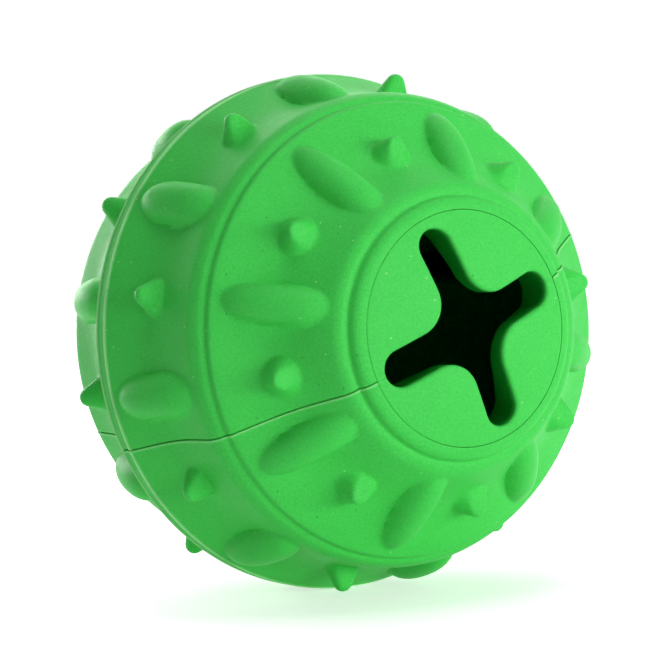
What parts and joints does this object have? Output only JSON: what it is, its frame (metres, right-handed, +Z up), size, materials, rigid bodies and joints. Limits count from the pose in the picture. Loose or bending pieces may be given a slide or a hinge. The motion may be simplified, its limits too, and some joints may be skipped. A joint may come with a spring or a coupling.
{
  "type": "rubber treat ball",
  "caption": "Hollow green rubber treat ball for a dog, ringed with long and round bumps, with a cross-shaped mouth whose flexing lips hold food in and let it out as the ball rolls.",
  "frame": {"origin": "centre of the ball, where its axis crosses the plane of the belt", "axes": "+Y along the ball's axis from the mouth to the closed end, so the mouth faces -Y; +Z up as the ball lies in the picture; +X to the right when looking into the mouth"},
  "size_m": [0.0758, 0.069, 0.0758],
  "materials": {
    "green_rubber": "matte moulded natural rubber"
  },
  "bodies": {
    "ball": {"upper_shell": "green_rubber", "lower_shell": "green_rubber", "mouth_ring": "green_rubber", "rear_disc": "green_rubber"},
    "top_lip": {"lip_top": "green_rubber"},
    "left_lip": {"lip_left": "green_rubber"},
    "bottom_lip": {"lip_bottom": "green_rubber"},
    "right_lip": {"lip_right": "green_rubber"}
  },
  "joints": [
    {"name": "top_lip_flex", "type": "hinge", "parent": "ball", "child": "top_lip", "pos_m": [0.0039, -0.0323, 0.00941], "axis": [0.9239, 0, -0.3827], "range_deg": [-25, 30], "stiffness_Nm_per_rad": 0.05},
    {"name": "left_lip_flex", "type": "hinge", "parent": "ball", "child": "left_lip", "pos_m": [-0.00941, -0.0323, 0.0039], "axis": [0.3827, 0, 0.9239], "range_deg": [-25, 30], "stiffness_Nm_per_rad": 0.05},
    {"name": "bottom_lip_flex", "type": "hinge", "parent": "ball", "child": "bottom_lip", "pos_m": [-0.0039, -0.0323, -0.00941], "axis": [-0.9239, 0, 0.3827], "range_deg": [-25, 30], "stiffness_Nm_per_rad": 0.05},
    {"name": "right_lip_flex", "type": "hinge", "parent": "ball", "child": "right_lip", "pos_m": [0.00941, -0.0323, -0.0039], "axis": [-0.3827, 0, -0.9239], "range_deg": [-25, 30], "stiffness_Nm_per_rad": 0.05}
  ]
}
